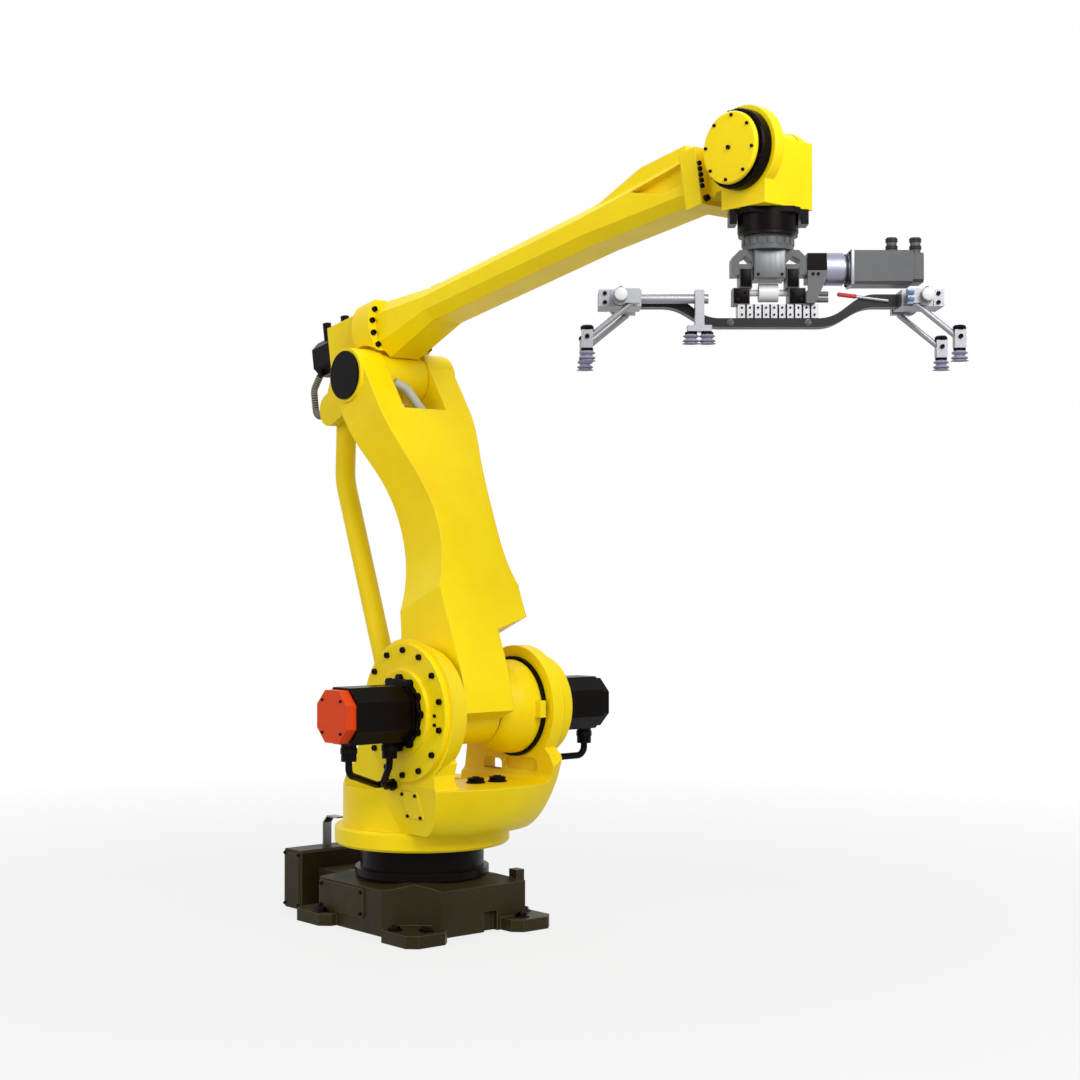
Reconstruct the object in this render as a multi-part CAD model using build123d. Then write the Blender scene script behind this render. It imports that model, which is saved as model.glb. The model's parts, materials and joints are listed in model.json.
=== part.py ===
from build123d import *
import math
import os

# Five-axis palletising arm with a vacuum-cup frame bolted to its wrist.
# Millimetres. The origin lies on the floor on the slewing axis.
# X points forward along the forearm, Y to the arm's left, Z up.

os.makedirs("parts", exist_ok=True)

# Main axes
shoulder_x = 272
shoulder_z = 729
arm_length = 1182
arm_lean = 21.9
forearm_pitch = 10
forearm_length = 1790
forearm_offset = 158
link_back = 282
link_drop = 90
tool_turn = 50

# Running clearances
turn_gap = 0.3
seat_gap = 6

# Base casting
base_front = 256
base_rear = 256
base_half_width = 240
base_height = 171
base_edge_height = 148
base_slope = 72
base_round = 12
pocket_long = 146
pocket_wide = 130
pocket_run = 34
pocket_sink = 22
lug_length = 46
lug_width = 38
lug_inset = 6
lug_top = 186
foot_out_x = 340
foot_out_y = 292
foot_length = 190
foot_width = 162
foot_thick = 40
foot_corner = 30
foot_hole_r = 12
foot_bolts = [(288, 195), (212, 262)]
neck_half_width = 130
neck_height = 144
slot_length = 54
slot_height = 66
slot_depth = 20
slot_y = 88

# Connector box and cable strip behind the base
box_rear = 535
box_front = 425
box_half_width = 200
box_bottom = 6
box_height = 208
box_edge = 8
lid_thick = 5
lid_margin = 14
strip_thick = 5
strip_width = 34
strip_x = 478
strip_y = 60
strip_height = 105
strip_reach = 84
strip_bend = 22

# Cover plate on the base side
plate_rear = 246
plate_front = 12
plate_low = 46
plate_high = 142
plate_thick = 6

# Slew ring
slew_r = 205
slew_top = 274
slew_lip_r = 222
slew_lip = 24

# Turret casting
ring_r = 290
ring_thick = 62
ring_edge = 8
drum_r = 262
drum_top = 470
bowl_radii = [366, 403, 451, 484, 510]
bowl_heights = [365, 429, 496, 579]
yoke_near = 255
yoke_far = 222
yoke_inner = 175
near_boss_r = 232
rim_boss_r = 198
near_rear = [(-91, 485), (-20, 560)]
far_rear = [(0, 473), (18, 590)]
near_front = [(420, 575), (408, 540), (412, 493), (495, 493)]
far_front = [(450, 580), (495, 500)]
yoke_low_half = 205
yoke_flare_z = 500
sill_x = 190
sill_z = 493
sill_floor = 442
sill_half = 162
sill_round = 28
far_boss_r = 163
far_boss_out = 285
arch_x = 158
arch_z = 533
arch_width = 94
arch_height = 38
arch_round = 17
panel_x = 304
panel_z = 543
panel_width = 160
panel_height = 40
panel_round = 14
panel_depth = 8
hatch_x = 272
hatch_z = 437
hatch_width = 86
hatch_height = 92
hatch_thick = 6

# Bolted disc and motor on the near side of the shoulder
disc_r = 216
disc_out = 273
disc_ring_r = 134
disc_ring_out = 283
adapter_r = 108
lobe_count = 12
lobe_r = 13
adapter_out = 297
motor_size = 174
motor_corner = 42
motor_end = 505
cap_size = 160
cap_corner = 44
cap_end = 541
far_motor_end = 520
far_neck = 490

# Motor leads under both shoulder motors
lead_r = 11
lead_bend = 30
lead_out_y = 478
lead_in_y = 326
lead_drop = 41
lead_in_drop = 24
lead_plug_r = 24
lead_plug_length = 52
entry_back = 108
entry_pitch = 32
entry_drop = 233
entry_out = 300

# Lower arm casting, drawn upright from the shoulder axis
arm_depth = 200
arm_half = 160
arm_waist = 118
arm_cheek = 188
arm_notch_half = 27
arm_hub_r = 112
arm_hub_boss_r = 106
arm_end_r = 92
arm_front_shares = [(0.83, -0.055), (0.94, 0.106), (0.91, 0.29), (0.985, 0.49), (0.83, 0.68), (0.66, 0.84)]
arm_rear_shares = [(-0.26, 0.83), (0.0, 0.67), (-0.02, 0.47), (-0.25, 0.29), (-0.75, 0.06)]
arm_heel_shares = [(-0.54, -0.025), (0.46, -0.055)]
arm_notch_shares = (0.17, 0.205)
arm_waist_shares = [0.3, 0.5, 0.68, 0.8, 0.88]
arm_waist_mid_half = 150
arm_slot_half = 88
arm_slot_r = 217
arm_boss_out = 196
arm_pocket_half = 46
arm_pocket_front = 118
arm_pocket_rear = 36
arm_pocket_drop = 422
elbow_cover_r = 81
elbow_cover_thick = 7
elbow_pin_r = 45
elbow_pin_half = 189

# Pale hose in the elbow window
hose_r = 16
hose_bend = 40
hose_x = 88
hose_y = 26
hose_low_drop = 182
hose_knee_y = 24
hose_knee_drop = 84
hose_end_y = 70
hose_end_drop = 60

# Crank, crank pin and link rod
crank_radii = [110, 128, 147, 152]
crank_steps = [35, 60, 100, 150]
seal_r = 163
seal_thick = 11
stop_half = 27
stop_in = 148
stop_out = 176
stop_near = 138
stop_far = 162
crank_web_in = 42
crank_web_out = 84
crank_web_half = 70
crank_eye_r = 58
pin_r = 25
pin_head_r = 36
pin_head = 8
rod_r = 35
rod_bend = 180
rod_eye_r = 56
rod_eye_half = 36
rod_bow_low = 112
rod_bow_high = 100
rod_knee_shares = [0.15, 0.81]

# Elbow housing, drawn level from the elbow axis
hub_r = 86
hub_half = 82
hub_ear_r = 84
house_rear = 246
house_top = 240
house_low = 66
house_shelf = 90
house_front = 45
flange_r = 135
flange_rear = 28
flange_flat = 250
flange_floor = 30
tail_lug_in = 42
tail_lug_out = 76
tail_eye_r = 57
tail_open = 75
tail_clear = 150

# Rear motor with its plug, and the plug on the housing
rear_motor_size = 124
rear_motor_corner = 28
rear_motor_rise = 8
rear_motor_length = 137
plug_r = 15
plug_height = 56
plug_back = 74
plug_side = 30
house_plug_x = 212
house_plug_y = 26
house_plug_height = 40

# Conduit loops under the rear motor
loop_r = 11
loop_bend = 30
loop_y = 50
loop_start = 362
loop_back = 412
loop_rise = 102

# Forearm tube
tube_root = 75
tube_first = 330
tube_waist_back = 680
tube_end_back = 235
tube_bottoms = [52, 110, 112, 94]
tube_tops = [244, 218, 222, 240]
tube_halves = [104, 90, 86, 80]
tube_cuts = [46, 32, 30, 28]
hood_half = 66
hood_start_back = 690
hood_crest_back = 420
hood_crest_z = 262
hood_base_z = 200
recess_depth = 24
recess_backs = [455, 325, 245, 240]
recess_heights = [198, 148, 153, 212]
pad_half = 34
pad_height = 14
pad_spans = [(150, 235), (300, 352)]
pad_sink = 20

# Wrist neck
neck_plate_back = 173
neck_plate_low = 68
neck_plate_high = 232
neck_plate_half = 96
neck_half = 60
neck_low = 75
neck_step_back = 162
neck_rise_back = 147
neck_high = 62
neck_hub_r = 66
neck_ear_r = 50

# Wrist housing, drawn from the wrist axis
wrist_boss_in = 66
wrist_boss_out = 98
wrist_near_r = 120
wrist_far_r = 68
wrist_far_out = 86
wrist_rear = 78
wrist_front = 82
wrist_bottom = 151
wrist_floor = 127
wrist_web_in = 74
wrist_web_high = 30
wrist_ring_r = 97
wrist_ring_out = 138
wrist_cover_r = 96
wrist_cover_out = 150
wrist_cover_edge = 3

# Black turning unit under the wrist
unit_half = 80
unit_corner = 22
unit_plate = 16
unit_r = 82
unit_low = 212
ear_width = 20
ear_depth = 60
ear_drop = 40
ear_out = 106
bore_r = 46
bore_depth = 40

# Tool flange and changer plates, heights down from the flange face
face_drop = 222
face_r = 80
face_plate = 9.7
pilot_r = 40
top_plate_r = 65
top_plate = 9
mid_plate_r = 71
mid_plate = 17
low_plate_r = 69
low_plate = 13
rib_count = 18
rib_width = 10
rib_depth = 4

# Tool centre block and its side forks
tool_block_half = 42
tool_block_depth = 46
tool_block_top = 39
tool_block_low = 117
fork_out = 101
fork_half = 34
fork_wall = 20
fork_top = 16
fork_low = 106
fork_corner = 22
leg_in = 46
leg_out = 80
leg_top = 85
leg_low = 140
knuckle_in = 52
knuckle_out = 97
knuckle_half = 30
knuckle_top = 140
knuckle_low = 184

# White roller
roller_r = 25
roller_half = 26
roller_drop = 150
roller_pin_r = 9

# Segmented bar
bar_left = 84
bar_right = 132
bar_top = 184
bar_low = 221
bar_half = 28
bar_groove = 5
bar_groove_depth = 4
bar_grooves = 9

# Dark curved beam
beam_flat = 132
beam_rise = 286
beam_end = 345
beam_thick_mid = 24
beam_thick_end = 34
beam_low_drop = 245
beam_end_drop = 191
beam_half = 26

# End clamps, cross tubes and struts
clamp_out = 458
clamp_grooves = [388, 428]
clamp_groove = 4
clamp_top = 152
clamp_low = 196
clamp_near = 78
clamp_far = 34
cross_u = 402
cross_drop = 174
cross_r = 18
cross_bore_r = 12
cross_half = 150
strut_r = 8
strut_y = 112
strut_u_in = 373
strut_drop_in = 193
strut_u_out = 490
strut_drop_out = 288
collar_half = 14
collar_r = 22
jaw_in = 352
jaw_top = 156
jaw_low = 194
side_tube_r = 12.5
side_tube_in = 166
side_tube_y = 56
drop_u = 190
drop_width = 24
drop_near = 76
drop_far = 36
drop_top = 152
drop_low = 262
drop_foot_left = 222
drop_foot_right = 158
drop_foot_thick = 16

# Suction cups and their holders
holder_half = 15
holder_top = 264
holder_low = 312
corner_cup_low = 346
mid_cup_low = 294
cup_r = 22
cup_neck_r = 11
cup_lip_r = 24
cup_fold = 9
mid_cup_u = [212, 169]

# Tool servo, gearbox and bracket
servo_drop = 86
mount_in = 101
mount_out = 153
mount_half = 38
gear_mid = 200
gear_out = 216
gear_r = 44
gear_neck_r = 36
servo_half = 46
servo_corner = 8
servo_rear = 381
servo_end = 412
servo_end_half = 40
servo_plugs = [333, 397]
servo_plug_r = 14
servo_plug_top = 39
gusset_thick = 8
gusset_in = 101
gusset_out = 152
gusset_top = 96
gusset_low = 183
gusset_step = 20
peg_r = 7
peg_out = 157
peg_drops = [157, 173]
lever_r = 4
lever_start = 318
lever_end = 183
lever_drop_start = 175
lever_drop_end = 158
lever_near = 30

# Pivot places worked out from the sizes above
lean = math.radians(arm_lean)
pitch = math.radians(forearm_pitch)
elbow_x = shoulder_x - arm_length * math.sin(lean)
elbow_z = shoulder_z + arm_length * math.cos(lean)
wrist_x = elbow_x + forearm_length * math.cos(pitch) - forearm_offset * math.sin(pitch)
wrist_z = elbow_z + forearm_length * math.sin(pitch) + forearm_offset * math.cos(pitch)
tube_end = forearm_length - tube_end_back
tail_x = -link_back * math.cos(pitch) - link_drop * math.sin(pitch)
tail_z = link_back * math.sin(pitch) - link_drop * math.cos(pitch)
at_shoulder = Pos(shoulder_x, 0, shoulder_z)
at_arm = at_shoulder * Rot(0, -arm_lean, 0)
at_crank_pin = Pos(shoulder_x - link_back, 0, shoulder_z - link_drop)
at_rod = at_crank_pin * Rot(0, -arm_lean, 0)
at_elbow = Pos(elbow_x, 0, elbow_z)
at_forearm = at_elbow * Rot(0, -forearm_pitch, 0)
at_wrist = Pos(wrist_x, 0, wrist_z)
at_tool = at_wrist * Pos(0, 0, -face_drop) * Rot(0, 0, tool_turn)


def block(x0, x1, y0, y1, z0, z1):
    return Pos((x0 + x1) / 2, (y0 + y1) / 2, (z0 + z1) / 2) * Box(x1 - x0, y1 - y0, z1 - z0)


def drum_x(radius, x0, x1, y=0, z=0):
    return Pos((x0 + x1) / 2, y, z) * Rot(0, 90, 0) * Cylinder(radius, x1 - x0)


def drum_y(radius, y0, y1, x=0, z=0):
    return Pos(x, (y0 + y1) / 2, z) * Rot(90, 0, 0) * Cylinder(radius, y1 - y0)


def drum_z(radius, z0, z1, x=0, y=0):
    return Pos(x, y, (z0 + z1) / 2) * Cylinder(radius, z1 - z0)


def side_slab(outline, y0, y1):
    return extrude(Plane.XZ.offset(-y1) * outline, amount=y1 - y0)


def front_slab(outline, x0, x1):
    return extrude(Plane.YZ.offset(x0) * outline, amount=x1 - x0)


def polygon(points):
    return make_face(Polyline(*points, close=True))


def cut_square(size, corner):
    square = Rectangle(size, size)
    return chamfer(square.vertices(), corner)


def tube_along(points, radius, bend):
    path = FilletPolyline(*points, radius=bend)
    start = Plane(origin=path @ 0, z_dir=path % 0)
    return sweep(start * Circle(radius), path)


def save(shape, node):
    export_step(shape, "parts/" + node + ".step")


# Base: block with a sloping top and one cut-in corner, four feet and a neck
def base_casting():
    body = extrude(base_plan(), base_height + base_slope)
    reach = base_front + base_slope
    body &= front_slab(roof(base_half_width, base_half_width), -reach, reach)
    body &= side_slab(roof(base_rear, base_front), -reach, reach)
    body += block(-box_front, 0, -neck_half_width, neck_half_width, 0, neck_height)
    body += block(base_front - lug_length, base_front - lug_inset, base_half_width - lug_width,
                  base_half_width - lug_inset, slot_height, lug_top)
    for side_x in (-1, 1):
        for side_y in (-1, 1):
            body += foot(side_x, side_y)
    body -= block(base_front - slot_depth, base_front, slot_y - slot_length / 2,
                  slot_y + slot_length / 2, 0, slot_height)
    return body


def roof(low_side, high_side):
    rise = base_height - base_edge_height
    eave = base_edge_height - rise
    return polygon([
        (-low_side - base_slope, 0), (-low_side - base_slope, eave), (base_slope - low_side, base_height),
        (high_side - base_slope, base_height), (high_side + base_slope, eave),
        (high_side + base_slope, 0)])


def base_plan():
    pocket_x = base_front - pocket_long
    pocket_y = pocket_wide - base_half_width
    plan = polygon([
        (-base_rear, -base_half_width), (pocket_x, -base_half_width),
        (pocket_x + pocket_run, pocket_sink - base_half_width),
        (base_front - pocket_run, pocket_y - pocket_sink), (base_front, pocket_y),
        (base_front, base_half_width), (-base_rear, base_half_width)])
    return fillet(plan.vertices(), base_round)


def foot(side_x, side_y):
    x = side_x * (foot_out_x - foot_length / 2)
    y = side_y * (foot_out_y - foot_width / 2)
    pad = Rectangle(foot_length, foot_width)
    pad = Pos(x, y, 0) * extrude(chamfer(pad.vertices(), foot_corner), foot_thick)
    for bolt_x, bolt_y in foot_bolts:
        pad -= drum_z(foot_hole_r, 0, foot_thick, side_x * bolt_x, side_y * bolt_y)
    return pad


def connector_box():
    box = block(-box_rear, -box_front, -box_half_width, box_half_width, box_bottom, box_height)
    box = chamfer(box.edges().filter_by(Axis.Y), box_edge)
    lid_low = box_bottom + lid_margin
    lid_high = box_height - lid_margin
    box += block(lid_margin - box_rear, -box_front - lid_margin, -box_half_width - lid_thick,
                 -box_half_width, lid_low, lid_high)
    return box


def cable_strip():
    top = box_height + strip_height
    inner = [(0, box_height), (0, top - strip_bend), (strip_bend, top), (strip_reach, top)]
    outer = [(strip_reach, top + strip_thick), (strip_bend, top + strip_thick),
             (-strip_thick, top - strip_bend), (-strip_thick, box_height)]
    strip = side_slab(polygon(inner + outer), -strip_width / 2, strip_width / 2)
    return Pos(-strip_x, -strip_y, 0) * strip


def base_cover():
    face = -base_half_width
    cover = block(-plate_rear, plate_front, face - plate_thick, face, plate_low, plate_high)
    return fillet(cover.edges().filter_by(Axis.Y), base_round)


def slew_ring():
    ring = drum_z(slew_r, base_height, slew_top)
    return ring + drum_z(slew_lip_r, base_height, base_height + slew_lip)


# Turret: ring, drum, bowl-shaped front and the two uprights of the yoke
def turret_casting():
    ring_low = slew_top + turn_gap
    ring_top = ring_low + ring_thick
    ring = chamfer(drum_z(ring_r, ring_low, ring_top).edges(), ring_edge)
    body = ring + drum_z(drum_r, ring_top, drum_top) + turret_yoke(ring_top)
    body -= block(-ring_r, sill_x, -sill_half, sill_half, sill_floor, shoulder_z)
    high = shoulder_z + ring_r
    window = Pos(0, (sill_z + high) / 2) * Rectangle(2 * yoke_inner, high - sill_z)
    window = fillet(window.vertices().sort_by(Axis.Y)[:2], sill_round)
    body -= front_slab(window, -ring_r, shoulder_x + ring_r)
    arch = Rectangle(arch_width, arch_height)
    arch = fillet(arch.vertices().sort_by(Axis.Y)[2:], arch_round)
    body -= side_slab(Pos(arch_x, arch_z) * arch, yoke_inner, yoke_far)
    panel = Rectangle(panel_width, panel_height)
    panel = fillet(panel.vertices(), panel_round)
    body -= side_slab(Pos(panel_x, panel_z) * panel, yoke_inner, yoke_inner + panel_depth)
    body += drum_y(far_boss_r, yoke_far, far_boss_out, shoulder_x, shoulder_z)
    return body + hatch(ring_top)


def turret_yoke(low):
    boss_y = -(yoke_near + yoke_inner) / 2
    near_boss = Pos(shoulder_x, boss_y, shoulder_z) * Rot(90, 0, 0) * Cone(
        rim_boss_r, near_boss_r, yoke_near - yoke_inner)
    yoke = side_slab(upright(near_rear, near_front, near_boss_r, low), -yoke_near, 0) + near_boss
    yoke += side_slab(upright(far_rear, far_front, rim_boss_r, low), 0, yoke_far)
    yoke += drum_y(rim_boss_r, yoke_inner, yoke_far, shoulder_x, shoulder_z)
    high = shoulder_z + ring_r
    width = polygon([
        (-yoke_low_half, low), (yoke_low_half, low), (yoke_far, yoke_flare_z), (yoke_far, high),
        (-yoke_near, high), (-yoke_near, yoke_flare_z)])
    yoke &= front_slab(width, -ring_r, shoulder_x + ring_r)
    upper = block(-ring_r, shoulder_x + ring_r, -yoke_near, yoke_far, bowl_heights[-1], high)
    return (yoke & turret_bowl(low)) + (yoke & upper)


def upright(rear, front, boss_r, low):
    return polygon([
        (rear[0][0], low), *rear, (shoulder_x - boss_r, shoulder_z), (shoulder_x, shoulder_z),
        *front, (front[-1][0], low)])


def turret_bowl(low):
    rim = list(zip(bowl_radii, [low] + bowl_heights))
    top = (0, bowl_heights[-1])
    half = make_face([Line((0, low), rim[0]), Spline(*rim), Line(rim[-1], top), Line(top, (0, low))])
    return revolve(Plane.XZ * half, Axis.Z)


def hatch(low):
    lean_y = yoke_near - yoke_low_half
    rise = yoke_flare_z - low
    face = -yoke_low_half - lean_y * (hatch_z - low) / rise
    turn = math.degrees(math.atan2(lean_y, rise))
    plate = block(-hatch_width / 2, hatch_width / 2, -hatch_thick, hatch_thick,
                  -hatch_height / 2, hatch_height / 2)
    return Pos(hatch_x, face, hatch_z) * Rot(turn, 0, 0) * plate


def shoulder_disc():
    disc = drum_y(disc_r, -disc_out, -yoke_near) + drum_y(disc_ring_r, -disc_ring_out, -disc_out)
    return at_shoulder * disc


def shoulder_motor():
    motor = drum_y(adapter_r, -adapter_out, -disc_ring_out)
    for step in range(lobe_count):
        turn = Rot(0, step * 360 / lobe_count, 0)
        motor += turn * drum_y(lobe_r, -adapter_out, -disc_ring_out, adapter_r)
    motor += side_slab(cut_square(motor_size, motor_corner), -motor_end, -adapter_out)
    return at_shoulder * motor


def motor_cap():
    return at_shoulder * side_slab(cut_square(cap_size, cap_corner), -cap_end, -motor_end)


def link_motor():
    motor = drum_y(adapter_r, far_boss_out, adapter_out)
    motor += side_slab(cut_square(motor_size, motor_corner), adapter_out, far_neck)
    motor += side_slab(cut_square(cap_size, cap_corner), far_neck, far_motor_end)
    return at_shoulder * motor


# Leads: plugs under the motors and bent leads to the yoke
def motor_leads():
    under = -motor_size / 2
    tip = under - lead_plug_length
    low = tip - lead_drop
    near = [(0, -lead_out_y, tip), (0, -lead_out_y, low), (-entry_back, -entry_out, -entry_drop),
            (-entry_back, -yoke_near, -entry_drop)]
    short_x = entry_pitch - entry_back
    short = [(0, -lead_in_y, tip), (0, -lead_in_y, tip - lead_in_drop),
             (short_x, -entry_out, -entry_drop), (short_x, -yoke_near, -entry_drop)]
    far = [(0, lead_out_y, tip), (0, lead_out_y, low), (0, yoke_far, low)]
    leads = []
    for path in (near, short, far):
        plug = drum_z(lead_plug_r, tip, under, 0, path[0][1])
        leads.append(at_shoulder * (plug + tube_along(path, lead_r, lead_bend)))
    return Compound(leads)


# Lower arm: bowed side outline crossed with a waisted front outline
def arm_casting():
    heel = [(arm_depth * a, arm_length * b) for a, b in arm_heel_shares]
    front = [(arm_depth * a, arm_length * b) for a, b in arm_front_shares]
    rear = [(arm_depth * a, arm_length * b) for a, b in arm_rear_shares]
    tip = (arm_end_r, arm_length)
    back = (-arm_end_r, arm_length)
    outline = make_face([
        Spline(*front, tip), ThreePointArc(tip, (0, arm_length + arm_end_r), back),
        Spline(back, *rear), Line(rear[-1], heel[0]), Line(heel[0], heel[1]),
        Line(heel[1], front[0])])
    arm = side_slab(outline, -arm_cheek, arm_cheek) + drum_y(arm_hub_r, -arm_cheek, arm_cheek)
    arm &= front_slab(arm_front_outline(), -arm_length, arm_length)
    arm -= drum_y(arm_slot_r, -arm_slot_half, arm_slot_half, 0, arm_length)
    arm -= block(arm_pocket_rear, arm_pocket_front, -arm_pocket_half, arm_pocket_half,
                 arm_length - arm_pocket_drop, arm_length)
    arm += drum_y(arm_hub_boss_r, turn_gap - yoke_inner, -arm_half)
    for low, high in ((-arm_boss_out, -arm_cheek), (arm_cheek, arm_boss_out)):
        arm += drum_y(arm_end_r, low, high, 0, arm_length)
    arm -= drum_y(elbow_pin_r + turn_gap, -arm_boss_out, arm_boss_out, 0, arm_length)
    return at_arm * arm


def arm_front_outline():
    heights = [arm_length * share for share in arm_waist_shares]
    halves = [arm_half, arm_waist, arm_waist_mid_half, arm_cheek - seat_gap, arm_cheek]
    left = [(-half, height) for half, height in zip(halves, heights)]
    right = [(half, height) for half, height in zip(halves, heights)]
    low = -arm_hub_r - seat_gap
    high = arm_length + arm_end_r + seat_gap
    notch = [(arm_notch_half, low), (arm_notch_half, arm_length * arm_notch_shares[0]),
             (arm_half, arm_length * arm_notch_shares[1]), right[0]]
    return make_face([
        Polyline(*notch), Spline(*right), Line(right[-1], (arm_cheek, high)),
        Line((arm_cheek, high), (-arm_cheek, high)), Line((-arm_cheek, high), left[-1]),
        Spline(*reversed(left)), Line(left[0], (-arm_half, low)), Line((-arm_half, low), notch[0])])


def elbow_covers():
    discs = []
    for low, high in ((-arm_boss_out - elbow_cover_thick, -arm_boss_out),
                      (arm_boss_out, arm_boss_out + elbow_cover_thick)):
        discs.append(at_elbow * drum_y(elbow_cover_r, low, high))
    return Compound(discs)


def elbow_pin():
    return at_elbow * drum_y(elbow_pin_r, -elbow_pin_half, elbow_pin_half)


def arm_hose():
    points = [(hose_x, hose_y, arm_length - arm_pocket_drop),
              (hose_x, hose_y, arm_length - hose_low_drop),
              (hose_x, -hose_knee_y, arm_length - hose_knee_drop),
              (hose_x, -hose_end_y, arm_length - hose_end_drop)]
    return at_arm * tube_along(points, hose_r, hose_bend)


# Link drive: crank on the shoulder axis, its pin and the bent rod
def crank():
    seal_near = yoke_inner - turn_gap - seal_thick
    rim = list(zip(crank_radii, crank_steps)) + [(crank_radii[-1], seal_near)]
    half = polygon([(0, crank_steps[0]), *rim, (0, seal_near)])
    drum = revolve(half, Axis.Y)
    drum += block(stop_in, stop_out, stop_near, stop_far, -stop_half, stop_half) - drum_y(
        crank_radii[-1] - seat_gap, stop_near, stop_far)
    reach = math.hypot(link_back, link_drop)
    web = block(-reach, 0, crank_web_in, crank_web_out, -crank_web_half, crank_web_half)
    web += drum_y(crank_eye_r, crank_web_in, crank_web_out, -reach, 0)
    turn = math.degrees(math.atan2(link_drop, link_back))
    body = drum + Rot(0, -turn, 0) * web
    body -= drum_y(pin_r + turn_gap, crank_web_in, crank_web_out, -link_back, -link_drop)
    return at_shoulder * body


def crank_seal():
    seal = drum_y(seal_r, yoke_inner - turn_gap - seal_thick, yoke_inner - turn_gap)
    return at_shoulder * seal


def crank_pin():
    pin = drum_y(pin_r, -rod_eye_half - turn_gap, crank_web_out + turn_gap)
    pin += drum_y(pin_head_r, -rod_eye_half - turn_gap - pin_head, -rod_eye_half - turn_gap)
    pin += drum_y(pin_head_r, crank_web_out + turn_gap, crank_web_out + turn_gap + pin_head)
    return at_crank_pin * pin


def link_rod():
    low, high = [arm_length * share for share in rod_knee_shares]
    rod = tube_along([(0, 0, 0), (-rod_bow_low, 0, low), (-rod_bow_high, 0, high),
                      (0, 0, arm_length)], rod_r, rod_bend)
    for height in (0, arm_length):
        rod += drum_y(rod_eye_r, -rod_eye_half, rod_eye_half, 0, height)
    for height in (0, arm_length):
        rod -= drum_y(pin_r + turn_gap, -rod_eye_half, rod_eye_half, 0, height)
    return at_rod * rod


# Elbow housing: hub, gearbox shelf, bolted flange and forked tail
def elbow_housing():
    house = drum_y(hub_r, -hub_half, hub_half)
    house += drum_y(hub_ear_r, turn_gap - arm_slot_half, arm_slot_half - turn_gap)
    house += side_slab(polygon([
        (-house_rear, house_shelf), (-house_rear, house_top), (house_front, house_top),
        (house_front, house_low), (0, 0), (-hub_r, 0)]), -hub_half, hub_half)
    flange = drum_x(flange_r, -flange_rear, tube_root, 0, forearm_offset)
    flange &= block(-flange_rear, tube_root, -flange_r, flange_r, flange_floor, flange_flat)
    flange -= drum_y(arm_end_r + 2 * seat_gap, -flange_r, flange_r)
    house += flange
    house += elbow_tail()
    house -= drum_y(elbow_pin_r + turn_gap, -arm_slot_half, arm_slot_half)
    return at_forearm * house


def elbow_tail():
    tail = side_slab(polygon([
        (-hub_r / 2, -hub_r / 2), (tail_x, tail_z - tail_eye_r), (tail_x - tail_eye_r, tail_z),
        (tail_x, tail_z + tail_eye_r), (-house_rear, house_shelf), (-hub_r / 2, house_shelf)]),
        -tail_lug_out, tail_lug_out)
    tail += drum_y(tail_eye_r, -tail_lug_out, tail_lug_out, tail_x, tail_z)
    tail -= drum_y(rod_eye_r + seat_gap + seat_gap, -tail_lug_in, tail_lug_in, tail_x, tail_z)
    tail -= block(tail_x - tail_clear, tail_x + tail_open, -tail_lug_in, tail_lug_in,
                  tail_z - tail_clear, tail_z)
    tail -= block(tail_x - tail_clear, tail_x, -tail_lug_in, tail_lug_in, tail_z,
                  tail_z + rod_eye_r + seat_gap)
    tail += drum_y(pin_r, -tail_lug_out, tail_lug_out, tail_x, tail_z)
    return tail


def rear_motor():
    middle = forearm_offset + rear_motor_rise
    body = front_slab(cut_square(rear_motor_size, rear_motor_corner),
                      -house_rear - rear_motor_length, -house_rear)
    body += drum_z(plug_r, 0, rear_motor_size / 2 + plug_height, -house_rear - plug_back,
                   -plug_side)
    plug = drum_z(plug_r, house_top, house_top + house_plug_height, -house_plug_x, -house_plug_y)
    return Compound([at_forearm * Pos(0, 0, middle) * body, at_forearm * plug])


def elbow_loops():
    loops = []
    under = forearm_offset + rear_motor_rise - rear_motor_size / 2
    for side in (-1, 1):
        y = side * loop_y
        points = [(-loop_start, y, under), (-loop_back, y, tail_z + loop_rise), (-loop_back, y, tail_z),
                  (tail_x - tail_eye_r, y, tail_z)]
        loops.append(at_forearm * tube_along(points, loop_r, loop_bend))
    return Compound(loops)


# Forearm: faceted tube in stations, with an arched hood near the wrist
def forearm_tube():
    stations = [tube_root, tube_first, forearm_length - tube_waist_back, tube_end]
    rows = zip(stations, tube_bottoms, tube_tops, tube_halves, tube_cuts)
    tube = loft([tube_section(*row) for row in rows], ruled=True)
    tube += side_slab(polygon([
        (forearm_length - hood_start_back, hood_base_z), (forearm_length - hood_crest_back, hood_crest_z),
        (tube_end, hood_crest_z), (tube_end, hood_base_z)]), -hood_half, hood_half)
    side = tube_halves[-1]
    recess = polygon([(forearm_length - back, z) for back, z in zip(recess_backs, recess_heights)])
    for low, high in ((-2 * side, recess_depth - side), (side - recess_depth, 2 * side)):
        tube -= side_slab(recess, low, high)
    tube -= drum_y(hub_r, -flange_r, flange_r)
    for start, end in pad_spans:
        top = tube_tops[1] + pad_height
        tube += block(start, end, -pad_half, pad_half, top - pad_height - pad_sink, top)
    return at_forearm * tube


def tube_section(x, bottom, top, half, cut):
    face = Rectangle(2 * half, top - bottom)
    face = chamfer(face.vertices(), cut)
    return Plane.YZ.offset(x) * Pos(0, (top + bottom) / 2) * face


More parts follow.
